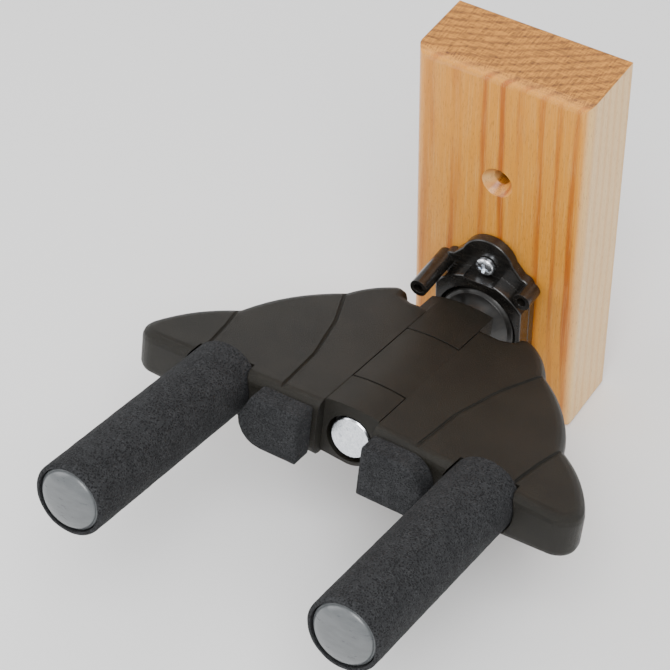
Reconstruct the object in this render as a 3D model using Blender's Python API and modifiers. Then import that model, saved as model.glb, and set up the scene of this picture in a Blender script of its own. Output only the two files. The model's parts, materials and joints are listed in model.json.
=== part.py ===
"""Wall guitar hanger: a wooden wall block, a moulded bracket, and two hinged wings that carry padded arms.

Frame: metres, +Z up. The origin is the centre of the block's back face, on the wall, and
the player stands on the -Y side. Both wings turn on one pivot bolt, whose axis leaves the
bracket and rises towards the player by ARM_PITCH. What is on that bolt is modelled in the
pivot frame: x sideways, z square to the bolt, and distances "forward" along the bolt, away
from the wall, which is the pivot frame's -y.
"""

from math import cos, pi, radians, sin, sqrt

import bmesh
import bpy
from mathutils import Vector

MM = 0.001
GAP = 0.3 * MM
FAR = 80.0 * MM
ROUND_STEPS = 40

# Wooden block
BLOCK_WIDTH = 55.0 * MM
BLOCK_HEIGHT = 125.0 * MM
BLOCK_DEPTH = 24.5 * MM
BLOCK_ROUNDING = 3.4 * MM
WALL_HOLE_RADIUS = 2.5 * MM
WALL_SINK_RADIUS = 4.9 * MM
WALL_SINK_DEPTH = 3.2 * MM
WALL_HOLE_HEIGHTS = (24.5 * MM, -53.5 * MM)

# Bracket, with its depths measured out from the wall
PLATE_WIDTH = 29.2 * MM
PLATE_BACK = BLOCK_DEPTH + GAP
PLATE_FRONT = PLATE_BACK + 3.6 * MM
PLATE_TOP = -4.7 * MM
PLATE_BOTTOM = -46.0 * MM
PLATE_EDGE = 0.6 * MM
EAR_RADIUS = 3.2 * MM
LOBE_Z = -4.0 * MM
LOBE_RADIUS = 8.8 * MM
BOSS_FRONT = 33.4 * MM
BOSS_RADIUS = 17.6 * MM
BOSS_Z = -23.6 * MM
BOSS_FOOT = -38.6 * MM
SCREW_RELIEF_HALF_WIDTH = 5.0 * MM
SCREW_RELIEF_Z = -7.3 * MM
RAIL_X = 14.2 * MM
RAIL_Z = -8.3 * MM
RAIL_RADIUS = 2.8 * MM
RAIL_BORE = 1.5 * MM
RAIL_FRONT = 43.6 * MM
LUG_FRONT = 33.2 * MM

# Pivot frame: where the bolt's axis leaves the bracket, and its rise
PIVOT_Y = -32.1 * MM
PIVOT_Z = -24.5 * MM
ARM_PITCH = radians(12.0)

# Pivot bolt and what is on it, as distances forward along it
BOLT_RADIUS = 4.0 * MM
BOLT_TAIL = -6.0 * MM
BOLT_HEAD_RADIUS = 6.3 * MM
BOLT_HEAD = (70.9 * MM, 73.6 * MM)
FRONT_WASHER = (69.9 * MM, 70.6 * MM)
FRONT_WASHER_RADIUS = 6.9 * MM
COUNTERBORE_RADIUS = 7.3 * MM
COUNTERBORE_FLOOR = 69.6 * MM
RUNNING_CLEARANCE = 0.1 * MM
BUSH_RADIUS = 5.2 * MM
FLANGE_RADIUS = 12.4 * MM
FLANGE = (0.6 * MM, 2.2 * MM)
FLANGE_NOSE = 8.7 * MM
FLANGE_NOSE_RADIUS = 8.6 * MM
NUT_RADIUS = 7.0 * MM
NUT = (-5.6 * MM, -2.4 * MM)

# Knuckles: the left wing owns the rear and front ones, the right wing the middle one
REAR_KNUCKLE = (9.0 * MM, 29.6 * MM)
MIDDLE_KNUCKLE = (30.2 * MM, 59.6 * MM)
FRONT_KNUCKLE = (60.2 * MM, 73.9 * MM)
KNUCKLE_RADIUS = 8.4 * MM
KNUCKLE_TOP = 10.0 * MM
KNUCKLE_CROWN = 0.7 * MM
KNUCKLE_ROOT = 12.0 * MM
SEAM_X = 8.7 * MM
SPRING_BORE_RADIUS = 7.2 * MM
SPRING_BORE_END = 50.8 * MM

# Wings
WING_FRONT = 77.8 * MM
WING_ROUNDING = 3.3 * MM
ROOT_TOP = 10.0 * MM
ROOT_BOTTOM = -8.4 * MM
TIP_X = 70.0 * MM
TIP_TOP = 7.4 * MM
TIP_BOTTOM = -5.8 * MM
TIP_RADIUS = 6.0 * MM
LOBE_ENDS = ((23.7, 11.0), (33.6, 22.8), (53.2, 49.6), (69.6, 69.2))
LOBE_BULGES = (1.1, 2.6, 1.9)
GROOVES = (
    ((33.4, 22.6), (27.0, 39.0), (22.8, 57.0), (21.4, 78.0)),
    ((53.0, 49.4), (50.8, 60.0), (49.6, 69.0), (49.0, 78.0)),
)
GROOVE_RADIUS = 0.55 * MM
POCKET_CEILING = 4.5 * MM
POCKETS = (
    ((15.0, 24.0), (26.0, 24.0), (32.0, 34.0), (32.0, 70.0), (15.0, 70.0)),
    ((52.0, 60.0), (55.0, 60.0), (64.0, 69.0), (64.0, 72.0), (52.0, 72.0)),
)

# Arms
ARM_X = 41.8 * MM
ARM_RISE = 2.2 * MM
FOAM_RADIUS = 10.65 * MM
FOAM_BACK = 72.2 * MM
FOAM_FRONT = 145.6 * MM
ROD_RADIUS = 4.75 * MM
ROD_BACK = 44.0 * MM
ROD_FRONT = 139.0 * MM
ROD_HOLLOW_RADIUS = 3.3 * MM
ROD_HOLLOW_DEPTH = 14.0 * MM
CAP_RADIUS = 9.1 * MM
CAP_BACK = 141.6 * MM
CAP_DOME = 2.4 * MM
ROD_SCREW_FORWARD = 56.0 * MM

# Neck pads
PAD_INNER_X = 9.7 * MM
PAD_OUTER_X = 29.4 * MM
PAD_TOP = 9.0 * MM
PAD_BOTTOM = -7.0 * MM
PAD_CORNER = 8.2 * MM
PAD_SLANT = 3.8 * MM
PAD_EDGE = 0.6 * MM
PAD_FRONT = 85.8 * MM

# Screws and spring
SCREW_HEAD_RADIUS = 3.0 * MM
SCREW_HEAD_HEIGHT = 2.1 * MM
SCREW_SHANK_RADIUS = 1.6 * MM
BRACKET_SCREW_LENGTH = 18.0 * MM
ROD_SCREW_LENGTH = 8.0 * MM
SPRING_RADIUS = 6.1 * MM
SPRING_WIRE = 0.6 * MM
SPRING_TURNS = 6
SPRING_RANGE = (33.0 * MM, 49.5 * MM)
SPRING_LEG_END = 26.0 * MM

FORWARD = (pi / 2, 0, 0)


def clear_scene():
    for obj in list(bpy.data.objects):
        bpy.data.objects.remove(obj, do_unlink=True)


def new_collection(name, hidden=False):
    made = bpy.data.collections.new(name)
    made.hide_render = hidden
    bpy.context.scene.collection.children.link(made)
    return made


def new_material(name, colour, roughness, metallic=0.0):
    made = bpy.data.materials.new(name)
    made.use_nodes = True
    shader = made.node_tree.nodes["Principled BSDF"]
    shader.inputs["Base Color"].default_value = (*colour, 1.0)
    shader.inputs["Roughness"].default_value = roughness
    shader.inputs["Metallic"].default_value = metallic
    return made


clear_scene()
PARTS = new_collection("wall_guitar_hanger")
CUTTERS = new_collection("cutters", hidden=True)

WOOD = new_material("pale_wood", (0.78, 0.52, 0.25), 0.5)
BLACK_PLASTIC = new_material("black_plastic", (0.03, 0.03, 0.028), 0.45)
FOAM = new_material("charcoal_foam", (0.09, 0.09, 0.095), 0.95)
CAP_PLASTIC = new_material("grey_cap_plastic", (0.32, 0.34, 0.35), 0.15)
ZINC = new_material("zinc_plate", (0.72, 0.74, 0.76), 0.3, 1.0)
STEEL = new_material("plain_steel", (0.5, 0.5, 0.5), 0.35, 1.0)
NYLON = new_material("black_nylon", (0.04, 0.04, 0.045), 0.35)
SPRING_STEEL = new_material("spring_steel", (0.3, 0.3, 0.32), 0.35, 1.0)


def new_empty(name, location, rotation):
    made = bpy.data.objects.new(name, None)
    made.location = location
    made.rotation_euler = rotation
    PARTS.objects.link(made)
    return made


PIVOT = new_empty("pivot_frame", (0, PIVOT_Y, PIVOT_Z), (-ARM_PITCH, 0, 0))


def place(obj, parent=None, location=(0, 0, 0), rotation=(0, 0, 0)):
    """Puts an object under a parent, at a location and rotation in that parent's frame."""
    obj.parent = parent
    obj.location = location
    obj.rotation_euler = rotation
    return obj


def keep(obj, material, cutter):
    """Links an object as a part, or as a hidden cutter."""
    obj.data.materials.clear()
    obj.data.materials.append(material)
    (CUTTERS if cutter else PARTS).objects.link(obj)
    if cutter:
        obj.hide_render = True
        obj.display_type = "WIRE"
    obj.data.shade_smooth()
    obj.data.set_sharp_from_angle(angle=radians(35))
    return obj


def mesh_object(name, shape, material, cutter):
    mesh = bpy.data.meshes.new(name)
    shape.to_mesh(mesh)
    shape.free()
    return keep(bpy.data.objects.new(name, mesh), material, cutter)


def box(name, low, high, material=BLACK_PLASTIC, cutter=True):
    shape = bmesh.new()
    bmesh.ops.create_cube(shape, size=1.0)
    low, high = Vector(low), Vector(high)
    bmesh.ops.scale(shape, vec=high - low, verts=shape.verts)
    bmesh.ops.translate(shape, vec=(low + high) / 2, verts=shape.verts)
    return mesh_object(name, shape, material, cutter)


def turned(name, profile, material=BLACK_PLASTIC, cutter=True, steps=ROUND_STEPS):
    """Turns a (radius, height) profile about Z. The profile runs down its outer side.

    A profile that starts and ends on the axis closes there; any other closes on itself.
    """
    shape = bmesh.new()
    points = [shape.verts.new((radius, 0, height)) for radius, height in profile]
    for first, second in zip(points, points[1:]):
        shape.edges.new((first, second))
    if profile[0][0] > 0:
        shape.edges.new((points[-1], points[0]))
    obj = mesh_object(name, shape, material, cutter)
    screw = obj.modifiers.new("turn", "SCREW")
    screw.steps = steps
    screw.render_steps = steps
    screw.use_merge_vertices = True
    screw.merge_threshold = 0.00001
    return obj


def cylinder(name, radius, start, end, material=BLACK_PLASTIC, cutter=True, steps=ROUND_STEPS):
    shape = bmesh.new()
    bmesh.ops.create_cone(
        shape, cap_ends=True, segments=steps, radius1=radius, radius2=radius, depth=end - start
    )
    bmesh.ops.translate(shape, vec=(0, 0, (start + end) / 2), verts=shape.verts)
    return mesh_object(name, shape, material, cutter)


def ring(name, inner, outer, start, end, material, steps=ROUND_STEPS):
    profile = [(outer, end), (outer, start), (inner, start), (inner, end)]
    return turned(name, profile, material, False, steps)


def curve_mesh(name, curve, material, cutter):
    """Makes a curve into a welded mesh object, so that it can take and serve Booleans."""
    source = bpy.data.objects.new(name + "_curve", curve)
    bpy.context.scene.collection.objects.link(source)
    graph = bpy.context.evaluated_depsgraph_get()
    mesh = bpy.data.meshes.new_from_object(source.evaluated_get(graph))
    bpy.data.objects.remove(source)
    shape = bmesh.new()
    shape.from_mesh(mesh)
    bmesh.ops.remove_doubles(shape, verts=shape.verts, dist=0.000001)
    bmesh.ops.recalc_face_normals(shape, faces=shape.faces)
    shape.to_mesh(mesh)
    shape.free()
    return keep(bpy.data.objects.new(name, mesh), material, cutter)


def spline_curve(name, points, dimensions):
    curve = bpy.data.curves.new(name, "CURVE")
    curve.dimensions = dimensions
    spline = curve.splines.new("POLY")
    spline.points.add(len(points) - 1)
    for point, co in zip(spline.points, points):
        point.co = (*co, 1)
    spline.use_cyclic_u = dimensions == "2D"
    return curve


def turn_anticlockwise(outline):
    following = outline[1:] + outline[:1]
    area = sum(ax * by - bx * ay for (ax, ay), (bx, by) in zip(outline, following))
    return outline if area > 0 else outline[::-1]


def slab(name, outline, thickness, rounding=0.0, material=BLACK_PLASTIC, cutter=True):
    """An outline in XY with a thickness centred on z = 0, its edges rounded inside the outline."""
    outline = turn_anticlockwise(outline)
    curve = spline_curve(name, [(x, y, 0) for x, y in outline], "2D")
    curve.fill_mode = "BOTH"
    curve.extrude = thickness / 2 - rounding
    curve.bevel_depth = rounding
    curve.bevel_resolution = 2
    curve.offset = -rounding
    return curve_mesh(name, curve, material, cutter)


def wire(name, points, radius, material, cutter=False):
    curve = spline_curve(name, points, "3D")
    curve.bevel_depth = radius
    curve.bevel_resolution = 2
    curve.use_fill_caps = True
    return curve_mesh(name, curve, material, cutter)


def arc(centre, radius, start, end, steps):
    """Points along an arc, with its angles in degrees and both ends included."""
    angles = [radians(start + (end - start) * i / steps) for i in range(steps + 1)]
    return [(centre[0] + radius * cos(a), centre[1] + radius * sin(a)) for a in angles]


def bulged(points, bulges, steps=8):
    """Joins points by shallow arcs, each bulging to the right of its chord by its own rise."""
    made = []
    for (ax, ay), (bx, by), rise in zip(points, points[1:], bulges):
        length = sqrt((bx - ax) ** 2 + (by - ay) ** 2)
        for i in range(steps):
            t = i / steps
            lift = 4 * rise * t * (1 - t) / length
            made.append((ax + (bx - ax) * t + (by - ay) * lift, ay + (by - ay) * t - (bx - ax) * lift))
    made.append(points[-1])
    return made


def trim(shape, point, keep_side):
    """Cuts a closed mesh at a plane, keeps the side that keep_side points to, and caps the cut."""
    geometry = [*shape.verts, *shape.edges, *shape.faces]
    cut_plane = bmesh.ops.bisect_plane(
        shape, geom=geometry, dist=0.000001, plane_co=point, plane_no=keep_side, clear_inner=True
    )
    rim = [item for item in cut_plane["geom_cut"] if isinstance(item, bmesh.types.BMEdge)]
    bmesh.ops.edgeloop_fill(shape, edges=rim)
    bmesh.ops.recalc_face_normals(shape, faces=shape.faces)


def combine(target, others, operation):
    for other in others:
        modifier = target.modifiers.new(f"{operation.lower()}_{other.name}", "BOOLEAN")
        modifier.operation = operation
        modifier.solver = "EXACT"
        modifier.object = other
    return target


def cut(target, *others):
    return combine(target, others, "DIFFERENCE")


def join(target, *others):
    return combine(target, others, "UNION")


def on_wall(obj, x=0.0, z=0.0):
    """Turns a piece made along Z so that its heights are distances out from the wall."""
    return place(obj, location=(x, 0, z), rotation=FORWARD)


def on_pivot(obj, x=0.0, z=0.0):
    """Turns a piece made along Z so that its heights are distances forward along the bolt."""
    return place(obj, PIVOT, location=(x, 0, z), rotation=FORWARD)


def wall_slab(name, outline, back, front, rounding=0.0, material=BLACK_PLASTIC, cutter=True):
    """An (x, z) outline standing in front of the wall, between two distances from it."""
    made = slab(name, outline, front - back, rounding, material, cutter)
    return place(made, location=(0, -(back + front) / 2, 0), rotation=FORWARD)


def pivot_slab(name, outline, back, front, rounding=0.0, material=BLACK_PLASTIC, cutter=True):
    """An (x, z) outline square to the bolt, between two distances forward along it."""
    made = slab(name, outline, front - back, rounding, material, cutter)
    return place(made, PIVOT, location=(0, -(back + front) / 2, 0), rotation=FORWARD)


def make_block():
    half = BLOCK_WIDTH / 2
    low = (-half, -BLOCK_DEPTH, -BLOCK_HEIGHT / 2)
    block = box("wood_block", low, (half, 0, BLOCK_HEIGHT / 2), WOOD, cutter=False)
    shape = bmesh.new()
    shape.from_mesh(block.data)
    front = [edge for edge in shape.edges if all(vert.co.y < -BLOCK_DEPTH / 2 for vert in edge.verts)]
    bmesh.ops.bevel(shape, geom=front, offset=BLOCK_ROUNDING, segments=5, profile=0.5, affect="EDGES")
    shape.to_mesh(block.data)
    shape.free()
    profile = [
        (0, BLOCK_DEPTH + MM),
        (WALL_SINK_RADIUS, BLOCK_DEPTH + MM),
        (WALL_SINK_RADIUS, BLOCK_DEPTH),
        (WALL_HOLE_RADIUS, BLOCK_DEPTH - WALL_SINK_DEPTH),
        (WALL_HOLE_RADIUS, -MM),
        (0, -MM),
    ]
    for height in WALL_HOLE_HEIGHTS:
        cut(block, on_wall(turned("wall_screw_hole", profile, steps=32), z=height))
    depth = PLATE_FRONT - BRACKET_SCREW_LENGTH - MM
    for _, x, z in bracket_screws():
        pilot = cylinder("pilot_hole", SCREW_SHANK_RADIUS + GAP, depth, FAR, steps=16)
        cut(block, on_wall(pilot, x, z))
    return block


def bracket_screws():
    """Name, x and z of each screw that holds the bracket to the block."""
    lower_x = PLATE_WIDTH / 2 - 4.6 * MM
    lower_z = PLATE_BOTTOM + 3.8 * MM
    return (
        ("bracket_screw_top", 0.0, LOBE_Z),
        ("bracket_screw_left", -lower_x, lower_z),
        ("bracket_screw_right", lower_x, lower_z),
    )


def plate_outline():
    """Round ears at the top corners, a round lobe between them, and a squarer lower end."""
    half = PLATE_WIDTH / 2
    corner = 2.4 * MM
    dip = 18
    points = arc((half - corner, PLATE_BOTTOM + corner), corner, -90, 0, 4)
    points += arc((half - EAR_RADIUS, PLATE_TOP - EAR_RADIUS), EAR_RADIUS, 0, 90, 5)
    points += arc((0, LOBE_Z), LOBE_RADIUS, dip, 180 - dip, 18)
    points += arc((EAR_RADIUS - half, PLATE_TOP - EAR_RADIUS), EAR_RADIUS, 90, 180, 5)
    points += arc((corner - half, PLATE_BOTTOM + corner), corner, 180, 270, 4)
    return points


def boss_outline():
    """The socket boss: a wide round hood, cut off at the plate's sides and below."""
    half = PLATE_WIDTH / 2 - 0.2 * MM
    shoulder = BOSS_Z + sqrt(BOSS_RADIUS**2 - half**2)
    rim = [point for point in arc((0, BOSS_Z), BOSS_RADIUS, 0, 180, 36) if abs(point[0]) < half - MM]
    return [(-half, BOSS_FOOT), (half, BOSS_FOOT), (half, shoulder), *rim, (-half, shoulder)]


def make_bracket():
    bracket = wall_slab(
        "wall_bracket", plate_outline(), PLATE_BACK, PLATE_FRONT, PLATE_EDGE, cutter=False
    )
    root = (PLATE_BACK + PLATE_FRONT) / 2
    boss = wall_slab("socket_boss", boss_outline(), root, BOSS_FRONT, PLATE_EDGE)
    relief_low = (-SCREW_RELIEF_HALF_WIDTH, -FAR, SCREW_RELIEF_Z)
    cut(boss, box("screw_relief", relief_low, (SCREW_RELIEF_HALF_WIDTH, 0, 0)))
    join(bracket, boss)
    for name, x, front in (("stop_rail", -RAIL_X, RAIL_FRONT), ("short_lug", RAIL_X, LUG_FRONT)):
        join(bracket, on_wall(cylinder(name, RAIL_RADIUS, root, front, steps=24), x, RAIL_Z))
        bore = cylinder(name + "_bore", RAIL_BORE, PLATE_FRONT + MM, FAR, steps=20)
        cut(bracket, on_wall(bore, x, RAIL_Z))
    for name, x, z in bracket_screws():
        hole = cylinder(name + "_hole", SCREW_SHANK_RADIUS + GAP, 0, FAR, steps=20)
        cut(bracket, on_wall(hole, x, z))
    seat = FLANGE[0] - GAP
    socket = [
        (0, FAR),
        (FLANGE_RADIUS + 24 * MM, FAR),
        (FLANGE_RADIUS + GAP, seat),
        (BOLT_RADIUS + GAP, seat),
        (BOLT_RADIUS + GAP, -FAR),
        (0, -FAR),
    ]
    pocket = cylinder("nut_pocket", NUT_RADIUS + GAP, -FAR, NUT[1] + GAP, steps=6)
    cut(bracket, on_pivot(turned("bolt_socket", socket)), on_pivot(pocket))
    return bracket


def screw_profile(head_radius, head_height, shank_radius, length):
    """A pan head above z = 0 and a shank with a point below it."""
    crown = 0.55 * head_height
    dome = [
        (head_radius * sin(radians(a)), head_height - crown + crown * cos(radians(a)))
        for a in range(0, 91, 18)
    ]
    return [
        *dome,
        (head_radius, 0),
        (shank_radius, 0),
        (shank_radius, -length + 2 * shank_radius),
        (0, -length),
    ]


def make_screw(name, length):
    """A cross-recess pan-head screw along Z, its seat at z = 0."""
    profile = screw_profile(SCREW_HEAD_RADIUS, SCREW_HEAD_HEIGHT, SCREW_SHANK_RADIUS, length)
    screw = turned(name, profile, ZINC, cutter=False, steps=24)
    slot = 0.45 * MM
    reach = 1.7 * MM
    floor = SCREW_HEAD_HEIGHT - 1.2 * MM
    arms = (
        box(name + "_recess_a", (-slot, -reach, floor), (slot, reach, FAR)),
        box(name + "_recess_b", (-reach, -slot, floor + 0.05 * MM), (reach, slot, FAR)),
    )
    for arm in arms:
        place(arm, screw)
    return cut(screw, *arms)


def make_bracket_screws():
    for name, x, z in bracket_screws():
        screw = make_screw(name, BRACKET_SCREW_LENGTH)
        place(screw, location=(x, -PLATE_FRONT - GAP, z), rotation=FORWARD)


def make_bolt():
    edge = 0.4 * MM
    profile = [
        (0, BOLT_HEAD[1]),
        (BOLT_HEAD_RADIUS - edge, BOLT_HEAD[1]),
        (BOLT_HEAD_RADIUS, BOLT_HEAD[1] - edge),
        (BOLT_HEAD_RADIUS, BOLT_HEAD[0]),
        (BOLT_RADIUS, BOLT_HEAD[0]),
        (BOLT_RADIUS, BOLT_TAIL + edge),
        (BOLT_RADIUS - edge, BOLT_TAIL),
        (0, BOLT_TAIL),
    ]
    on_pivot(turned("pivot_bolt", profile, ZINC, cutter=False))
    nut = cylinder("lock_nut", NUT_RADIUS, *NUT, STEEL, cutter=False, steps=6)
    bore = cylinder("lock_nut_bore", BOLT_RADIUS + GAP, -FAR, FAR)
    cut(on_pivot(nut), on_pivot(bore))
    washer = ring("front_washer", BOLT_RADIUS + GAP, FRONT_WASHER_RADIUS, *FRONT_WASHER, NYLON)
    on_pivot(washer)


def make_bushes():
    inner = BOLT_RADIUS + RUNNING_CLEARANCE
    flange = [
        (FLANGE_NOSE_RADIUS, FLANGE_NOSE),
        (FLANGE_NOSE_RADIUS, FLANGE_NOSE - 2 * MM),
        (FLANGE_RADIUS - 1.4 * MM, FLANGE[1] + 0.4 * MM),
        (FLANGE_RADIUS - 0.5 * MM, FLANGE[1]),
        (FLANGE_RADIUS, FLANGE[1] - 0.5 * MM),
        (FLANGE_RADIUS, FLANGE[0]),
        (inner, FLANGE[0]),
        (inner, FLANGE_NOSE),
    ]
    on_pivot(turned("socket_flange", flange, NYLON, cutter=False))
    for name, start, end in (
        ("left_bush_rear", REAR_KNUCKLE[0], REAR_KNUCKLE[1]),
        ("left_bush_front", FRONT_KNUCKLE[0], COUNTERBORE_FLOOR),
        ("right_bush", SPRING_BORE_END, MIDDLE_KNUCKLE[1]),
    ):
        on_pivot(ring(name, inner, BUSH_RADIUS, start + GAP, end - GAP, NYLON))


def spring_points():
    """A coil round the bolt: one leg goes sideways into the right wing, the other back into the left."""
    start, end = SPRING_RANGE
    steps = 14 * SPRING_TURNS + 7
    points = [(KNUCKLE_RADIUS + 3 * MM, 0, end), (SPRING_RADIUS + 1.2 * MM, 0, end)]
    for i in range(1, steps + 1):
        angle = 2 * pi * i / 14
        forward = end + (start - end) * i / steps
        points.append((SPRING_RADIUS * cos(angle), SPRING_RADIUS * sin(angle), forward))
    points.append((-SPRING_RADIUS, 0, start - 1.5 * MM))
    points.append((-SPRING_RADIUS, 0, SPRING_LEG_END))
    return points


def make_spring():
    on_pivot(wire("torsion_spring", spring_points(), SPRING_WIRE, SPRING_STEEL))


def wing_outline():
    """The right wing seen from above, as (x, forward): a straight front and three lobes behind."""
    inner = -4.0
    points = [(inner, WING_FRONT / MM), (inner, 15.4), (14.6, 15.4)]
    points += arc((21.5, 14.0), 3.7, 180, 296, 6)
    points += bulged(LOBE_ENDS, LOBE_BULGES)
    radius = TIP_RADIUS / MM
    tip = ((TIP_X - TIP_RADIUS) / MM, (WING_FRONT - TIP_RADIUS) / MM)
    points += arc(tip, radius, -12, 90, 8)
    return [(x * MM, -forward * MM) for x, forward in points]


def wing_height(x, share):
    """Height of the wing at a distance x from the middle: share 1 is its top and -1 its underside."""
    along = (x - SEAM_X) / (TIP_X - SEAM_X)
    top = ROOT_TOP + (TIP_TOP - ROOT_TOP) * along
    bottom = ROOT_BOTTOM + (TIP_BOTTOM - ROOT_BOTTOM) * along
    return (top + bottom) / 2 + share * (top - bottom) / 2


def knuckle_outline():
    """Cross-section of a knuckle that grows out of a wing at +x: crowned on top, round below."""
    side = KNUCKLE_RADIUS
    crown = [side * (1 - i / 4) for i in range(9)]
    points = [(KNUCKLE_ROOT, -KNUCKLE_RADIUS + MM), (KNUCKLE_ROOT, KNUCKLE_TOP - MM)]
    points += [(x, KNUCKLE_TOP + KNUCKLE_CROWN * (1 - (x / side) ** 2)) for x in crown]
    points += arc((0, 0), side, 180, 270, 10)
    return points


def mirrored(points, side):
    return [(side * x, y) for x, y in points]


def make_wing(name, side, knuckles):
    """A wing shell: tapered plate, knuckles, sockets for its arm, grooves and hollows beneath."""
    root_height = ROOT_TOP - ROOT_BOTTOM
    outline = mirrored(wing_outline(), side)
    wing = slab(name, outline, root_height, WING_ROUNDING, cutter=False)
    shape = bmesh.new()
    shape.from_mesh(wing.data)
    for vert in shape.verts:
        vert.co.z = wing_height(side * vert.co.x, vert.co.z / (root_height / 2))
    trim(shape, (side * SEAM_X, 0, 0), (side, 0, 0))
    shape.to_mesh(wing.data)
    shape.free()
    place(wing, PIVOT)
    for i, (start, end) in enumerate(knuckles):
        outline = mirrored(knuckle_outline(), side)
        join(wing, pivot_slab(f"{name}_knuckle_{i}", outline, start, end))
    hollow_wing(wing, name, side)
    socket_arm(wing, name, side)
    groove_wing(wing, name, side)
    return wing


def hollow_wing(wing, name, side):
    """Moulded hollows in the underside, one each side of the arm's socket."""
    for i, corners in enumerate(POCKETS):
        outline = [(side * x * MM, -forward * MM) for x, forward in corners]
        depth = FAR
        pocket = slab(f"{name}_pocket_{i}", outline, depth)
        cut(wing, place(pocket, PIVOT, location=(0, 0, POCKET_CEILING - depth / 2)))


def socket_arm(wing, name, side):
    """The rod's bore, the scoop that takes the sleeve's end, and the lock screw's hole."""
    x = side * ARM_X
    bore = cylinder(name + "_rod_bore", ROD_RADIUS + GAP, ROD_BACK - GAP, FAR * 2)
    scoop = cylinder(name + "_sleeve_scoop", FOAM_RADIUS + 0.5 * MM, FOAM_BACK, FAR * 2)
    cut(wing, on_pivot(bore, x, ARM_RISE), on_pivot(scoop, x, ARM_RISE))
    seat = rod_screw_seat()
    head = cylinder(name + "_screw_seat", SCREW_HEAD_RADIUS + 0.5 * MM, -FAR, seat, steps=24)
    shank = cylinder(name + "_screw_hole", SCREW_SHANK_RADIUS + GAP, -FAR, ARM_RISE, steps=16)
    for hole in (head, shank):
        cut(wing, place(hole, PIVOT, location=(x, -ROD_SCREW_FORWARD, 0)))


def rod_screw_seat():
    """Height of the face under the wing that the arm's lock screw bears on."""
    return ARM_RISE - ROD_RADIUS - GAP - 1.6 * MM


def groove_wing(wing, name, side):
    """Two shallow grooves run from the notches between the lobes to the front edge."""
    for i, corners in enumerate(GROOVES):
        points = [
            (side * x * MM, -forward * MM, wing_height(x * MM, 1.0)) for x, forward in corners
        ]
        groove = wire(f"{name}_groove_{i}", points, GROOVE_RADIUS, BLACK_PLASTIC, cutter=True)
        cut(wing, place(groove, PIVOT))


def make_arm(name, side):
    x = side * ARM_X
    rod_profile = [
        (ROD_RADIUS, ROD_FRONT),
        (ROD_RADIUS, ROD_BACK),
        (0, ROD_BACK),
        (0, ROD_FRONT - ROD_HOLLOW_DEPTH),
        (ROD_HOLLOW_RADIUS, ROD_FRONT - ROD_HOLLOW_DEPTH),
        (ROD_HOLLOW_RADIUS, ROD_FRONT),
    ]
    rod = on_pivot(turned(f"{name}_arm_rod", rod_profile, STEEL, cutter=False), x, ARM_RISE)
    hole = cylinder(f"{name}_rod_screw_hole", SCREW_SHANK_RADIUS + GAP, -FAR, 0, steps=16)
    cut(rod, place(hole, PIVOT, location=(x, -ROD_SCREW_FORWARD, ARM_RISE + 2 * MM)))
    screw = make_screw(f"{name}_rod_screw", ROD_SCREW_LENGTH)
    seat = rod_screw_seat() - GAP
    place(screw, PIVOT, location=(x, -ROD_SCREW_FORWARD, seat), rotation=(pi, 0, 0))


def make_sleeve(name, side):
    """Foam tube round the rod, with a recess in its front end for the cap."""
    edge = 0.9 * MM
    profile = [
        (FOAM_RADIUS - edge, FOAM_FRONT),
        (FOAM_RADIUS - 0.3 * edge, FOAM_FRONT - 0.3 * edge),
        (FOAM_RADIUS, FOAM_FRONT - edge),
        (FOAM_RADIUS, FOAM_BACK + GAP),
        (ROD_RADIUS + GAP, FOAM_BACK + GAP),
        (ROD_RADIUS + GAP, CAP_BACK - GAP),
        (CAP_RADIUS + GAP, CAP_BACK - GAP),
        (CAP_RADIUS + GAP, FOAM_FRONT),
    ]
    on_pivot(turned(f"{name}_foam_sleeve", profile, FOAM, cutter=False), side * ARM_X, ARM_RISE)


def make_cap(name, side):
    """A domed plug in the sleeve's end, with a stem that pushes into the hollow rod."""
    rise = FOAM_FRONT - 0.6 * MM
    dome = [
        (CAP_RADIUS * sin(radians(a)), rise + CAP_DOME * cos(radians(a))) for a in range(0, 91, 15)
    ]
    stem = ROD_HOLLOW_RADIUS - GAP
    profile = [*dome, (CAP_RADIUS, CAP_BACK), (stem, CAP_BACK), (stem, ROD_FRONT - 10 * MM)]
    profile += [(stem - 0.8 * MM, ROD_FRONT - 11 * MM), (0, ROD_FRONT - 11 * MM)]
    on_pivot(turned(f"{name}_end_cap", profile, CAP_PLASTIC, cutter=False), side * ARM_X, ARM_RISE)


def pad_outline():
    """The right pad from the front: flat towards the middle, one outer corner well rounded."""
    centre = (PAD_OUTER_X - PAD_CORNER, PAD_TOP - PAD_CORNER)
    foot = PAD_OUTER_X - PAD_SLANT
    points = [(PAD_INNER_X, PAD_TOP), (PAD_INNER_X, PAD_BOTTOM), (foot, PAD_BOTTOM)]
    return points + arc(centre, PAD_CORNER, 0, 90, 8)


def make_pads():
    """One pad shape serves both sides: the left pad is the right one turned half round."""
    back = WING_FRONT + GAP
    pivot_slab("right_neck_pad", pad_outline(), back, PAD_FRONT, PAD_EDGE, FOAM, cutter=False)
    middle = PAD_TOP + PAD_BOTTOM
    turned_round = [(-x, middle - z) for x, z in pad_outline()]
    pivot_slab("left_neck_pad", turned_round, back, PAD_FRONT, PAD_EDGE, FOAM, cutter=False)


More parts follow.
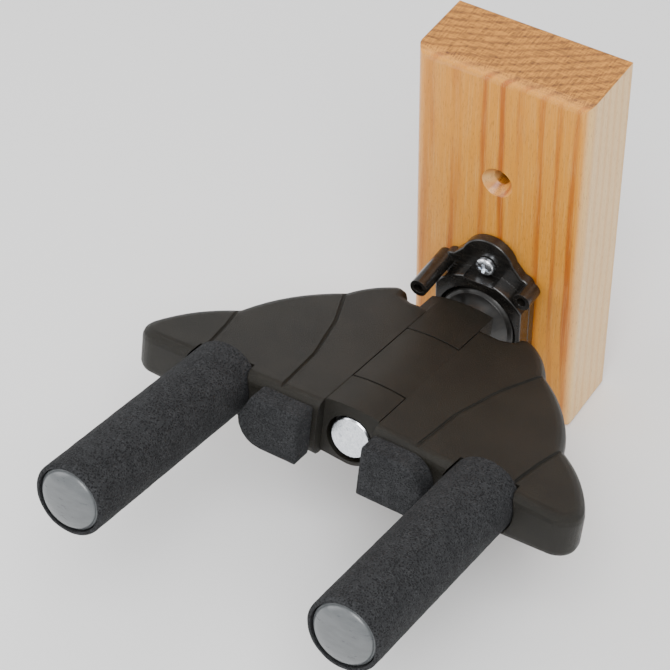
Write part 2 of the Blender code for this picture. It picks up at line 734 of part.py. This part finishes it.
def bore_knuckles(left, right):
    bush = BUSH_RADIUS + GAP
    left_bore = cylinder("left_knuckle_bore", bush, -FAR, FAR)
    counterbore = cylinder("left_counterbore", COUNTERBORE_RADIUS, COUNTERBORE_FLOOR, FAR)
    leg = cylinder("spring_leg_hole", 1.1 * MM, SPRING_LEG_END - MM, REAR_KNUCKLE[1] + MM, steps=12)
    cut(left, on_pivot(left_bore), on_pivot(counterbore), on_pivot(leg, -SPRING_RADIUS))
    right_bore = cylinder("right_knuckle_bore", bush, -FAR, FAR)
    spring_bore = cylinder("spring_bore", SPRING_BORE_RADIUS, -FAR, SPRING_BORE_END)
    side_leg = cylinder("spring_side_hole", 1.1 * MM, 0, KNUCKLE_RADIUS + 4 * MM, steps=12)
    cut(right, on_pivot(right_bore), on_pivot(spring_bore))
    place(side_leg, PIVOT, location=(0, -SPRING_RANGE[1], 0), rotation=(0, pi / 2, 0))
    cut(right, side_leg)


def main():
    make_block()
    make_bracket()
    make_bracket_screws()
    make_bolt()
    make_bushes()
    make_spring()
    left = make_wing("left_wing", -1, (REAR_KNUCKLE, FRONT_KNUCKLE))
    right = make_wing("right_wing", 1, (MIDDLE_KNUCKLE,))
    bore_knuckles(left, right)
    for name, side in (("left", -1), ("right", 1)):
        make_arm(name, side)
        make_sleeve(name, side)
        make_cap(name, side)
    make_pads()


main()
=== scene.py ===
"""Wall hanger for a guitar: its finished pieces, their finishes and a plain stage round the frame."""
import json
from math import cos, pi, radians, sin

import bpy
from mathutils import Matrix, Vector, noise

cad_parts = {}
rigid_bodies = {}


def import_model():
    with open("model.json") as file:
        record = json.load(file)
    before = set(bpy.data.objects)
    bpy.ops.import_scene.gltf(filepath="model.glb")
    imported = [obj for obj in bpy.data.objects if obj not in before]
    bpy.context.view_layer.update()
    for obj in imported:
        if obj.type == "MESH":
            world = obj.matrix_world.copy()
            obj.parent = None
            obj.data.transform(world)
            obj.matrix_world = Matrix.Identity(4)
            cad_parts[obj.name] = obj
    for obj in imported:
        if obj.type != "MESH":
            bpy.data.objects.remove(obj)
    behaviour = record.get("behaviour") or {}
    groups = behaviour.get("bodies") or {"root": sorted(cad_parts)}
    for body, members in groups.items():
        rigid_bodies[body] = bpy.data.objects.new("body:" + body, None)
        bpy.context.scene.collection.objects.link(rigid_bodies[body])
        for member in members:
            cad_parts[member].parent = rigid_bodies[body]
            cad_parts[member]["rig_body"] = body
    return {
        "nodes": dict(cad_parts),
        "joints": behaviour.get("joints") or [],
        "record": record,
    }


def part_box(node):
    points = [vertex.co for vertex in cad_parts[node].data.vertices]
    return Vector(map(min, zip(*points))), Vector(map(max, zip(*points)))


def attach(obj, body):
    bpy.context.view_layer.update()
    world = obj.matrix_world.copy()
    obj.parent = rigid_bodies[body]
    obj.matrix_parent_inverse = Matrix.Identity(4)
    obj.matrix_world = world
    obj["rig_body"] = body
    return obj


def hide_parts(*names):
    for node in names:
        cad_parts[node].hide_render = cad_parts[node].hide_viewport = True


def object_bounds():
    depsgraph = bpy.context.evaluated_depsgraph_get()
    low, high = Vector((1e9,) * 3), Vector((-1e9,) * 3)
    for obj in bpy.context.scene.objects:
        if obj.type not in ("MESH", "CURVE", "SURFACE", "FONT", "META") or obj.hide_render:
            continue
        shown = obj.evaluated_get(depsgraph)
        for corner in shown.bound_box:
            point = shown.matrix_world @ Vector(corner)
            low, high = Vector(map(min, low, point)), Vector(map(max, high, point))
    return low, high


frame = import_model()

bl_info = {
    "name": "Guitar Wall Hanger",
    "version": (1, 0, 0),
    "blender": (4, 5, 0),
    "location": "3D View > Sidebar > Hanger",
    "description": "Finishes a folding guitar hanger: wooden block, moulded wings and foam arms",
    "category": "Object",
}

MM = 0.001
NODES = frame["nodes"]
JOINT = frame["joints"][0]
PIVOT = Vector(JOINT["pos_m"])
AXIS = Vector(JOINT["axis"]).normalized()
CAD_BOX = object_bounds()
CAD_LOW, CAD_HIGH = CAD_BOX
SLOTS = {part["node"]: part["material_slot"] for part in frame["record"]["subparts"]}
SIDES = ("left", "right")
FINISHES = {}

SOFTEN_ANGLE = radians(32)
SAME_FACE_ANGLE = radians(0.2)
MERGE = 1e-6
FLAT_WEIGHT = 80

# The sleeves and caps
SEGMENTS = 112
CLEARANCE = 0.3 * MM
RECESS_DEPTH = 4.3 * MM
RING_STEP = 1.1 * MM
CAP_DEPTH = 3.4 * MM
CAP_CENTRE = 0.2 * MM
DOME_STEPS = 12
SLEEVE_WAVE = 3.2 * MM

# The neck pads
PAD_WAVE = 4.0 * MM
PAD_SMOOTHING = 8

# The wood's growth rings, in millimetres
HEART = (-60, 90, 0)
RING_WIDTH = 3.2
RING_WOBBLE = 9

# The stage
CAMERA_PLACE = (0.2339, -0.4721, 0.4597)
CAMERA_TURN = (32.9077, 44.5308, -0.9567)
CAMERA_LENS = 125.4
CAMERA_SENSOR = 36
FLOOR_SIZE = 6
FLOOR_GAP = 0.5 * MM
LAMPS = (
    ("key", (0.35, -0.55, 0.9), 0.6, 11),
    ("left", (-0.9, -0.5, 0.6), 0.8, 6),
    ("top", (0.0, 0.2, 1.1), 0.9, 3),
)
DAYLIGHT = 0.8


# Measures taken from the frame

def round_node(node):
    """Where a round node lies along the arms: its middle, its two ends and its radius."""
    low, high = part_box(node)
    heights = [(vertex.co - PIVOT).dot(AXIS) for vertex in NODES[node].data.vertices]
    return (low + high) / 2, min(heights), max(heights), (high.x - low.x) / 2


def along_axis(middle):
    """Stands a piece modelled along Z on the line through middle, facing the player."""
    foot = middle - AXIS * (middle - PIVOT).dot(AXIS)
    turn = AXIS.to_track_quat("Z", "X").to_matrix().to_4x4()
    return Matrix.Translation(foot) @ turn


# Modelling

def deselect():
    if bpy.context.object and bpy.context.object.mode != "OBJECT":
        bpy.ops.object.mode_set(mode="OBJECT")
    bpy.ops.object.select_all(action="DESELECT")


def make_active(piece):
    deselect()
    piece.select_set(True)
    bpy.context.view_layer.objects.active = piece


def tidy_mesh(piece):
    """Merges doubles and turns every face outwards."""
    make_active(piece)
    bpy.ops.object.mode_set(mode="EDIT")
    bpy.ops.mesh.select_all(action="SELECT")
    bpy.ops.mesh.remove_doubles(threshold=MERGE)
    bpy.ops.mesh.normals_make_consistent(inside=False)
    bpy.ops.object.mode_set(mode="OBJECT")


def turned(name, section):
    """A circle drawn out through (radius, height) points, back to its start or onto Z."""
    deselect()
    radius, height = section[0]
    bpy.ops.mesh.primitive_circle_add(vertices=SEGMENTS, radius=radius, location=(0, 0, height))
    piece = bpy.context.object
    piece.name = name
    piece.data.name = name
    bpy.ops.object.transform_apply(location=True)
    bpy.ops.object.mode_set(mode="EDIT")
    bpy.ops.mesh.select_all(action="SELECT")
    for near, far in zip(section, section[1:]):
        step = {"value": (0, 0, far[1] - near[1])}
        bpy.ops.mesh.extrude_edges_move(TRANSFORM_OT_translate=step)
        scale = far[0] / near[0]
        bpy.ops.transform.resize(value=(scale, scale, 1), center_override=(0, 0, 0))
    bpy.ops.object.mode_set(mode="OBJECT")
    tidy_mesh(piece)
    return piece


def softened(node):
    """A merged copy of a node with its round faces shaded smooth, which stands in for the node."""
    deselect()
    piece = bpy.data.objects.new(f"{node}_finished", NODES[node].data.copy())
    bpy.context.scene.collection.objects.link(piece)
    make_active(piece)
    bpy.ops.mesh.customdata_custom_splitnormals_clear()
    bpy.ops.object.mode_set(mode="EDIT")
    bpy.ops.mesh.select_all(action="SELECT")
    bpy.ops.mesh.remove_doubles(threshold=MERGE)
    bpy.ops.mesh.dissolve_limited(angle_limit=SAME_FACE_ANGLE)
    bpy.ops.object.mode_set(mode="OBJECT")
    bpy.ops.object.shade_smooth_by_angle(angle=SOFTEN_ANGLE)
    weigh = piece.modifiers.new("weigh", "WEIGHTED_NORMAL")
    weigh.keep_sharp = True
    weigh.weight = FLAT_WEIGHT
    bpy.ops.object.modifier_apply(modifier=weigh.name)
    return piece


def stand_in(piece, node):
    """The piece takes the node's place, body and material slot."""
    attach(piece, NODES[node]["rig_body"])
    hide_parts(node)
    piece.data.materials.clear()
    piece.data.materials.append(FINISHES[SLOTS[node]])


def finish_nodes(*names):
    """Gives nodes that stay as they are the finish of their slot."""
    for name in names:
        for slot in NODES[name].material_slots:
            slot.material = FINISHES[SLOTS[name]]


def roughen(piece, size, depth):
    """Moves the skin in and out by up to depth, in bumps of about the given size."""
    for vertex in piece.data.vertices:
        bump = noise.noise(vertex.co / size) + 0.5 * noise.noise(vertex.co / size * 2.3)
        vertex.co += vertex.normal * bump * depth


# Finishes

class Number:
    """A socket's value. Each of + - and * adds a Math node."""

    def __init__(self, finish, socket):
        self.finish = finish
        self.socket = socket

    def maths(self, operation, first, second):
        return self.finish.node("ShaderNodeMath", {"operation": operation}, {0: first, 1: second})

    def __add__(self, other):
        return self.maths("ADD", self, other)

    def __sub__(self, other):
        return self.maths("SUBTRACT", self, other)

    def __rsub__(self, other):
        return self.maths("SUBTRACT", other, self)

    def __mul__(self, other):
        return self.maths("MULTIPLY", self, other)

    __radd__ = __add__
    __rmul__ = __mul__


class Finish:
    """The nodes of one material, with patterns in millimetres of Object coordinates."""

    def __init__(self, name):
        self.material = bpy.data.materials.new(name)
        self.material.use_nodes = True
        self.tree = self.material.node_tree
        self.tree.nodes.clear()
        where = self.node("ShaderNodeTexCoord", output="Object")
        scale = {"operation": "SCALE"}
        self.place = self.node("ShaderNodeVectorMath", scale, {0: where, "Scale": 1 / MM})

    def node(self, kind, settings=(), inputs=(), output=0):
        made = self.tree.nodes.new(kind)
        for key, value in dict(settings).items():
            setattr(made, key, value)
        for key, value in dict(inputs).items():
            if isinstance(value, Number):
                self.tree.links.new(value.socket, made.inputs[key])
            else:
                made.inputs[key].default_value = value
        return Number(self, made.outputs[output]) if made.outputs else None

    def maths(self, operation, value):
        return self.node("ShaderNodeMath", {"operation": operation}, {0: value})

    def stretched(self, x, y, z):
        factor = {"operation": "MULTIPLY"}
        return self.node("ShaderNodeVectorMath", factor, {0: self.place, 1: (x, y, z)})

    def grain(self, x, y, z, detail=2.0, roughness=0.5):
        """Noise with x, y and z bumps to the millimetre, from 0 to 1."""
        inputs = {"Vector": self.stretched(x, y, z), "Scale": 1.0, "Detail": detail}
        inputs["Roughness"] = roughness
        return self.node("ShaderNodeTexNoise", inputs=inputs)

    def cells(self, per_mm):
        """Distance to the nearest of many scattered points, for pores and specks."""
        inputs = {"Vector": self.place, "Scale": per_mm}
        return self.node("ShaderNodeTexVoronoi", inputs=inputs, output="Distance")

    def between(self, value, low, high):
        """A soft step from 0 at low to 1 at high."""
        inputs = {"Value": value, "From Min": low, "From Max": high}
        return self.node("ShaderNodeMapRange", {"interpolation_type": "SMOOTHSTEP"}, inputs)

    def mix(self, factor, first, second):
        first = first if isinstance(first, Number) else (*first, 1.0)
        second = second if isinstance(second, Number) else (*second, 1.0)
        inputs = {0: factor, 6: first, 7: second}
        return self.node("ShaderNodeMix", {"data_type": "RGBA"}, inputs, output=2)

    def facing(self, axis):
        """How far the surface faces along an axis, from -1 to 1."""
        normal = self.node("ShaderNodeNewGeometry", output="Normal")
        return self.node("ShaderNodeSeparateXYZ", inputs={0: normal}, output=axis)

    def surface(self, colour, roughness, height, depth, soften=0.0, **fixed):
        inputs = {"Base Color": colour, "Roughness": roughness}
        inputs.update({key.replace("_", " "): value for key, value in fixed.items()})
        bump = {"Height": height, "Strength": 1.0, "Distance": depth}
        if soften:
            bump["Normal"] = self.node("ShaderNodeBevel", {"samples": 4}, {"Radius": soften})
        inputs["Normal"] = self.node("ShaderNodeBump", inputs=bump)
        shader = self.node("ShaderNodeBsdfPrincipled", inputs=inputs)
        self.node("ShaderNodeOutputMaterial", inputs={"Surface": shader})
        return self.material


def growth_rings(f):
    """Late wood, from 0 to 1, in rings round the tree's heart, which lies behind the block."""
    heart = {"operation": "DISTANCE"}
    radius = f.node("ShaderNodeVectorMath", heart, {0: f.stretched(1, 1, 0), 1: HEART}, "Value")
    wobble = f.grain(0.05, 0.05, 0.008, detail=3)
    wave = f.maths("SINE", radius * (2 * pi / RING_WIDTH) + wobble * RING_WOBBLE)
    return f.between(wave, -0.1, 1.0)


def wood(pale, honey, streak, end_grain):
    """Varnished wood, its fibres upright: streaks in front, the right side painted paler as painted
    light, darker end grain.
    """
    f = Finish("varnished_wood")
    fibres = f.grain(3.2, 3.2, 0.07, detail=4, roughness=0.6)
    bands = f.grain(0.16, 0.16, 0.008, detail=3)
    late = growth_rings(f)
    pores = f.between(f.grain(5.5, 5.5, 0.45), 0.58, 0.70)
    # Painted light: the side facing +X, towards the key lamp, is painted in the pale colour
    side = f.between(f.facing("X"), 0.35, 0.95)
    top = f.between(f.facing("Z"), 0.55, 0.95)
    front = f.mix(late * f.between(bands, 0.35, 0.65), honey, streak)
    front = f.mix(f.between(fibres, 0.45, 0.75) * 0.30, front, pale)
    # The right side's colour: a pale base that is painted light, with the real rings and fibres over
    # it
    painted_lit_flank = f.mix(late * 0.35, pale, honey)
    painted_lit_flank = f.mix(f.between(fibres, 0.4, 0.7) * 0.25, painted_lit_flank, honey)
    long_grain = f.mix(side, front, painted_lit_flank)
    rays = f.between(f.grain(3.4, 0.25, 1, detail=3, roughness=0.7), 0.40, 0.60)
    threads = f.between(f.grain(0.25, 3.4, 1, detail=3, roughness=0.7), 0.40, 0.60)
    dark_ends = [0.5 * level for level in end_grain]
    ends = f.mix(late * 0.45 + rays * 0.30 + threads * 0.25, honey, end_grain)
    ends = f.mix(rays * threads * 0.7, ends, dark_ends)
    colour = f.mix(top, long_grain, ends)
    colour = f.mix(pores * 0.45, colour, [0.55 * level for level in streak])
    rough = 0.30 + 0.14 * fibres + 0.15 * pores + 0.1 * top
    height = fibres * 0.5 + (1 - pores) * 0.5
    return f.surface(colour, rough, height, 0.06 * MM, soften=0.3 * MM, Coat_Weight=0.25,
                     Coat_Roughness=0.2)


def grained_plastic(dark, light):
    """Moulded plastic with a fine spark texture, its tips and fine specks painted paler as sparkle
    highlights.
    """
    f = Finish("grained_plastic")
    spark = f.grain(3.6, 3.6, 3.6, detail=3, roughness=0.7)
    cloud = f.grain(0.10, 0.10, 0.10)
    specks = f.between(f.cells(2.2), 0.22, 0.08)
    # Painted highlight: the tips of the spark texture are painted paler, as sparkle
    colour = f.mix(f.between(spark, 0.4, 0.65) * 0.8, dark, light)
    colour = f.mix(f.between(cloud, 0.35, 0.7) * 0.3, colour, light)
    # Painted highlight: fine specks painted three times paler, as glints
    colour = f.mix(specks * 0.5, colour, [3 * level for level in light])
    rough = 0.34 + 0.16 * spark - 0.06 * cloud
    return f.surface(colour, rough, spark, 0.28 * MM, soften=0.35 * MM,
                     Specular_IOR_Level=0.3)


def gloss_plastic(name, dark, light, gloss, depth):
    """Moulded plastic with a gloss skin, faint flow marks and rubbed patches."""
    f = Finish(name)
    flow = f.grain(0.25, 0.25, 0.9, detail=3)
    skin = f.grain(2.2, 2.2, 2.2, detail=3, roughness=0.6)
    rubs = f.between(f.grain(0.6, 6.0, 1.0, detail=3), 0.60, 0.75)
    colour = f.mix(f.between(flow, 0.35, 0.7), dark, light)
    colour = f.mix(rubs * 0.2, colour, [1.8 * level for level in light])
    rough = gloss + 0.10 * flow + 0.12 * rubs
    height = skin * 0.7 + flow * 0.3
    return f.surface(colour, rough, height, depth, soften=0.35 * MM, Coat_Weight=0.2,
                     Coat_Roughness=0.15)


def foam(name, dark, light, pore_size):
    """Closed-cell foam: open pores cut through its skin, their bottoms painted dark as painted shade,
    between pale specks.
    """
    f = Finish(name)
    pores = f.cells(1 / pore_size)
    specks = f.between(f.grain(1.7, 1.7, 1.7, detail=2), 0.54, 0.64)
    cloud = f.grain(0.3, 0.3, 0.3, detail=3)
    # Painted shade: the middle of each pore is painted in the dark colour, as shade in the hollow
    colour = f.mix(f.between(pores, 0.1, 0.6), dark, light)
    colour = f.mix(specks * 0.4, colour, [2.2 * level for level in light])
    colour = f.mix(f.between(cloud, 0.3, 0.7) * 0.3, colour, dark)
    rough = 0.86 - 0.10 * specks
    height = f.between(pores, 0.05, 0.55) * 0.7 + specks * 0.3
    return f.surface(colour, rough, height, 0.38 * MM, Specular_IOR_Level=0.2)


def plated_metal(name, pale, dark, gloss, stretch):
    """Plated or drawn steel with fine lines, dull spots and a slightly uneven polish."""
    f = Finish(name)
    lines = f.grain(*stretch, detail=3, roughness=0.6)
    spots = f.between(f.grain(1.1, 1.1, 1.1, detail=3), 0.56, 0.70)
    colour = f.mix(f.between(lines, 0.3, 0.7) * 0.5, pale, dark)
    colour = f.mix(spots * 0.35, colour, dark)
    rough = gloss + 0.12 * lines + 0.14 * spots
    return f.surface(colour, rough, lines, 0.015 * MM, soften=0.2 * MM, Metallic=1.0)


def floor_paint(pale, shade):
    """Matt paint, faintly clouded."""
    f = Finish("floor_paint")
    cloud = f.grain(0.004, 0.004, 0.004, detail=3)
    fine = f.grain(0.4, 0.4, 0.4)
    colour = f.mix(cloud * 0.5, pale, shade)
    return f.surface(colour, 0.8 + 0.1 * fine, fine, 0.02 * MM)


# Settings

def colour_property(name, description, default):
    return bpy.props.FloatVectorProperty(
        name=name, description=description, default=default, subtype="COLOR", min=0, max=1
    )


def length_property(name, description, default):
    return bpy.props.FloatProperty(
        name=name, description=description, default=default, min=0, unit="LENGTH"
    )


class HangerColours(bpy.types.PropertyGroup):
    # The pale wood colour gives the pale fibres in front and the right side, where it is painted light
    wood_pale: colour_property("Pale wood", "Sides of the block", (0.80, 0.52, 0.20))
    wood_honey: colour_property("Honey wood", "Front of the block", (0.70, 0.285, 0.030))
    wood_streak: colour_property("Streaks", "Darker growth bands", (0.46, 0.115, 0.008))
    wood_end: colour_property("End grain", "Top and foot of the block", (0.20, 0.066, 0.011))
    plastic_dark: colour_property("Wing plastic", "Wings and their knuckles", (0.0040, 0.0036, 0.0026))
    # The wing texture colour: a paler tone in the clouds, and painted sparkle on the texture's tips
    # and specks
    plastic_light: colour_property("Wing texture", "Tips of the texture", (0.020, 0.0172, 0.0115))
    gloss_dark: colour_property("Bracket plastic", "Bracket and bushes", (0.006, 0.0055, 0.005))
    gloss_light: colour_property("Bracket flow marks", "Paler marks", (0.015, 0.013, 0.011))
    # The foam's dark colour: painted shade at the bottom of the pores, and the darker clouds of the
    # foam
    foam_dark: colour_property("Foam pores", "Bottom of the pores", (0.004, 0.004, 0.005))
    foam_light: colour_property("Foam skin", "Skin between the pores", (0.030, 0.031, 0.033))
    cap_dark: colour_property("Cap grey", "End caps", (0.105, 0.113, 0.118))
    cap_light: colour_property("Cap pale grey", "Flow marks of the caps", (0.125, 0.133, 0.138))
    zinc_pale: colour_property("Zinc", "Screws, nut and bolt", (0.86, 0.89, 0.93))
    zinc_dark: colour_property("Dull zinc", "Dull spots", (0.50, 0.54, 0.60))


class HangerSizes(bpy.types.PropertyGroup):
    sleeve_edge: length_property("Sleeve edge", "Rounding of the foam's ends", 0.9 * MM)
    cap_edge: length_property("Cap edge", "Rounding of the cap's rim", 0.5 * MM)
    cap_inset: length_property("Cap inset", "Rim below the sleeve's end", 0.6 * MM)
    pad_voxel: length_property("Pad detail", "Size of the pad's mesh", 0.45 * MM)
    foam_bump: length_property("Foam unevenness", "Height of the foam's waves", 0.07 * MM)


# Pieces

class HANGER_OT_finishes(bpy.types.Operator):
    """Make the finish of each material slot"""

    bl_idname = "hanger.finishes"
    bl_label = "Finishes"

    def execute(self, context):
        c = context.scene.hanger_colours
        black = (tuple(c.gloss_dark), tuple(c.gloss_light))
        foams = (tuple(c.foam_dark), tuple(c.foam_light))
        zinc = (tuple(c.zinc_pale), tuple(c.zinc_dark))
        caps = (tuple(c.cap_dark), tuple(c.cap_light))
        steel = ((0.52, 0.52, 0.53), (0.30, 0.30, 0.31))
        woods = (tuple(c.wood_pale), tuple(c.wood_honey), tuple(c.wood_streak), tuple(c.wood_end))
        FINISHES["block_wood"] = wood(*woods)
        FINISHES["black_plastic"] = grained_plastic(tuple(c.plastic_dark), tuple(c.plastic_light))
        FINISHES["bracket_plastic"] = gloss_plastic("bracket_plastic_gloss", *black, 0.2, 0.02 * MM)
        FINISHES["bush_nylon"] = gloss_plastic("bush_nylon_satin", *black, 0.32, 0.03 * MM)
        FINISHES["sleeve_foam"] = foam("sleeve_foam_skin", *foams, 0.55)
        FINISHES["pad_foam"] = foam("pad_foam_skin", *foams, 0.42)
        FINISHES["cap_plastic"] = gloss_plastic("cap_plastic_grey", *caps, 0.24, 0.01 * MM)
        FINISHES["zinc_plate"] = plated_metal("bright_zinc", *zinc, 0.16, (1.5, 1.5, 1.5))
        FINISHES["rod_steel"] = plated_metal("drawn_steel", *steel, 0.25, (4, 0.2, 4))
        FINISHES["spring_steel"] = plated_metal("oiled_steel", *steel, 0.3, (3, 3, 3))
        return {"FINISHED"}


class HANGER_OT_block(bpy.types.Operator):
    """Finish the wooden wall block"""

    bl_idname = "hanger.block"
    bl_label = "Wooden block"

    def execute(self, context):
        stand_in(softened("wood_block"), "wood_block")
        return {"FINISHED"}


class HANGER_OT_bracket(bpy.types.Operator):
    """Finish the moulded bracket and its screws"""

    bl_idname = "hanger.bracket"
    bl_label = "Bracket and screws"

    def execute(self, context):
        for node in ("wall_bracket", "bracket_screw_top"):
            stand_in(softened(node), node)
        finish_nodes("bracket_screw_left", "bracket_screw_right")
        return {"FINISHED"}


class HANGER_OT_pivot(bpy.types.Operator):
    """Finish the bolt, the flanged collar, the washer, the bushes and the spring"""

    bl_idname = "hanger.pivot"
    bl_label = "Pivot"

    def execute(self, context):
        for node in ("pivot_bolt", "socket_flange", "front_washer", "torsion_spring"):
            stand_in(softened(node), node)
        finish_nodes("lock_nut", "left_bush_front", "left_bush_rear", "right_bush")
        return {"FINISHED"}


class HANGER_OT_wings(bpy.types.Operator):
    """Finish the two moulded wings"""

    bl_idname = "hanger.wings"
    bl_label = "Wings"

    def execute(self, context):
        for side in SIDES:
            stand_in(softened(f"{side}_wing"), f"{side}_wing")
        return {"FINISHED"}


class HANGER_OT_rods(bpy.types.Operator):
    """Finish the arms' steel rods and their lock screws"""

    bl_idname = "hanger.rods"
    bl_label = "Rods"

    def execute(self, context):
        for side in SIDES:
            stand_in(softened(f"{side}_arm_rod"), f"{side}_arm_rod")
            finish_nodes(f"{side}_rod_screw")
        return {"FINISHED"}


class HANGER_OT_sleeves(bpy.types.Operator):
    """Model the foam sleeves, with a recess in front for the cap"""

    bl_idname = "hanger.sleeves"
    bl_label = "Foam sleeves"

    def section(self, node, cap, rod, edge):
        """The sleeve's section: rounded ends, a bore for the rod and a recess for the cap."""
        _, back, front, radius = round_node(node)
        cap_radius = round_node(cap)[3] + CLEARANCE
        bore = round_node(rod)[3] + CLEARANCE
        recess = front - RECESS_DEPTH
        rise = [(sin(angle), cos(angle)) for angle in (pi / 2 * i / 6 for i in range(7))]
        points = [(radius - edge + edge * out, front - edge + edge * up) for out, up in rise]
        length = front - back - 2 * edge
        steps = round(length / RING_STEP)
        points += [(radius, front - edge - length * i / steps) for i in range(1, steps)]
        points += [(radius - edge + edge * out, back + edge - edge * up) for out, up in rise[::-1]]
        points += [(bore, back), (bore, recess), (cap_radius, recess), (cap_radius, front)]
        return [*points, points[0]]

    def execute(self, context):
        sizes = context.scene.hanger_sizes
        for side in SIDES:
            node = f"{side}_foam_sleeve"
            names = (node, f"{side}_end_cap", f"{side}_arm_rod")
            piece = turned(f"{side}_sleeve", self.section(*names, sizes.sleeve_edge))
            piece.data.transform(along_axis(round_node(node)[0]))
            make_active(piece)
            bpy.ops.object.shade_smooth_by_angle(angle=SOFTEN_ANGLE)
            roughen(piece, SLEEVE_WAVE, sizes.foam_bump)
            stand_in(piece, node)
        return {"FINISHED"}


class HANGER_OT_caps(bpy.types.Operator):
    """Model the domed end caps in the sleeves' ends"""

    bl_idname = "hanger.caps"
    bl_label = "End caps"

    def section(self, node, sleeve, sizes):
        """The cap's section: a seat, a rounded rim and a shallow dome."""
        _, _, front, radius = round_node(node)
        rim = round_node(sleeve)[2] - sizes.cap_inset
        edge = sizes.cap_edge
        seat = rim - CAP_DEPTH
        dome = radius - edge
        arcs = [pi / 2 * i / DOME_STEPS for i in range(1, DOME_STEPS + 1)]
        points = [(CAP_CENTRE, seat), (radius, seat), (radius, rim - edge)]
        for angle in arcs[2::3]:
            points.append((dome + edge * cos(angle), rim - edge + edge * sin(angle)))
        for angle in arcs[:-1]:
            points.append((dome * cos(angle), rim + (front - rim) * sin(angle)))
        return [*points, (0, front)]

    def execute(self, context):
        sizes = context.scene.hanger_sizes
        for side in SIDES:
            node = f"{side}_end_cap"
            sleeve = f"{side}_foam_sleeve"
            piece = turned(f"{side}_cap", self.section(node, sleeve, sizes))
            piece.data.transform(along_axis(round_node(sleeve)[0]))
            make_active(piece)
            bpy.ops.object.shade_smooth_by_angle(angle=SOFTEN_ANGLE)
            stand_in(piece, node)
        return {"FINISHED"}


class HANGER_OT_pads(bpy.types.Operator):
    """Model the foam neck pads with soft edges"""

    bl_idname = "hanger.pads"
    bl_label = "Neck pads"

    def execute(self, context):
        sizes = context.scene.hanger_sizes
        for side in SIDES:
            node = f"{side}_neck_pad"
            piece = softened(node)
            piece.name = f"{side}_pad"
            remesh = piece.modifiers.new("skin", "REMESH")
            remesh.mode = "VOXEL"
            remesh.voxel_size = sizes.pad_voxel
            bpy.ops.object.modifier_apply(modifier=remesh.name)
            smooth = piece.modifiers.new("soft_edges", "SMOOTH")
            smooth.factor = 0.5
            smooth.iterations = PAD_SMOOTHING
            bpy.ops.object.modifier_apply(modifier=smooth.name)
            bpy.ops.object.shade_smooth()
            roughen(piece, PAD_WAVE, sizes.foam_bump)
            stand_in(piece, node)
        return {"FINISHED"}


class HANGER_OT_stage(bpy.types.Operator):
    """Add the pale floor, the soft lights and the camera"""

    bl_idname = "hanger.stage"
    bl_label = "Stage"

    def lamp(self, name, place, size, power):
        """A square soft light that faces the hanger."""
        light = bpy.data.lights.new(name, "AREA")
        light.size = size
        light.energy = power
        lamp = bpy.data.objects.new(name, light)
        centre = (CAD_LOW + CAD_HIGH) / 2
        lamp.location = centre + Vector(place)
        lamp.rotation_mode = "QUATERNION"
        lamp.rotation_quaternion = (-Vector(place)).to_track_quat("-Z", "Y")
        bpy.context.scene.collection.objects.link(lamp)

    def camera(self):
        """The camera, turned by its azimuth, elevation and roll."""
        data = bpy.data.cameras.new("camera")
        data.lens = CAMERA_LENS
        data.sensor_width = CAMERA_SENSOR
        azimuth, elevation, roll = (radians(angle) for angle in CAMERA_TURN)
        level = cos(elevation)
        back = Vector((sin(azimuth) * level, -cos(azimuth) * level, sin(elevation)))
        right = Vector((cos(azimuth), sin(azimuth), 0))
        up = back.cross(right)
        leaning = cos(roll) * right + sin(roll) * up
        upright = cos(roll) * up - sin(roll) * right
        matrix = Matrix((leaning, upright, back)).transposed().to_4x4()
        matrix.translation = CAMERA_PLACE
        camera = bpy.data.objects.new("camera", data)
        camera.matrix_world = matrix
        bpy.context.scene.collection.objects.link(camera)
        bpy.context.scene.camera = camera

    def floor(self):
        """The pale floor, just below the hanger."""
        deselect()
        place = (0, 0, CAD_LOW.z - FLOOR_GAP)
        bpy.ops.mesh.primitive_plane_add(size=FLOOR_SIZE, location=place)
        floor = bpy.context.object
        floor.name = "floor"
        bpy.ops.object.transform_apply(location=True)
        floor.data.materials.append(floor_paint((0.92, 0.92, 0.92), (0.89, 0.89, 0.89)))

    def execute(self, context):
        self.floor()
        for lamp in LAMPS:
            self.lamp(*lamp)
        world = bpy.data.worlds.new("soft_white")
        world.use_nodes = True
        light = world.node_tree.nodes["Background"]
        light.inputs["Color"].default_value = (1, 1, 1, 1)
        light.inputs["Strength"].default_value = DAYLIGHT
        context.scene.world = world
        self.camera()
        return {"FINISHED"}


OPERATORS = (
    HANGER_OT_finishes, HANGER_OT_block, HANGER_OT_bracket, HANGER_OT_pivot, HANGER_OT_wings,
    HANGER_OT_rods, HANGER_OT_sleeves, HANGER_OT_caps, HANGER_OT_pads, HANGER_OT_stage,
)


class HANGER_PT_panel(bpy.types.Panel):
    """The hanger's pieces, sizes and colours"""

    bl_idname = "HANGER_PT_panel"
    bl_label = "Guitar Wall Hanger"
    bl_space_type = "VIEW_3D"
    bl_region_type = "UI"
    bl_category = "Hanger"

    def draw(self, context):
        for operator in OPERATORS:
            self.layout.operator(operator.bl_idname)
        for group in (context.scene.hanger_sizes, context.scene.hanger_colours):
            for name in group.__annotations__:
                self.layout.prop(group, name)


CLASSES = (HangerColours, HangerSizes, *OPERATORS, HANGER_PT_panel)


def register():
    for made in CLASSES:
        bpy.utils.register_class(made)
    bpy.types.Scene.hanger_colours = bpy.props.PointerProperty(type=HangerColours)
    bpy.types.Scene.hanger_sizes = bpy.props.PointerProperty(type=HangerSizes)


def unregister():
    del bpy.types.Scene.hanger_sizes
    del bpy.types.Scene.hanger_colours
    for made in reversed(CLASSES):
        bpy.utils.unregister_class(made)


def main():
    register()
    for name in ("finishes", "block", "bracket", "pivot", "wings", "rods", "sleeves", "caps",
                 "pads", "stage"):
        getattr(bpy.ops.hanger, name)()


if __name__ == "__main__":
    main()
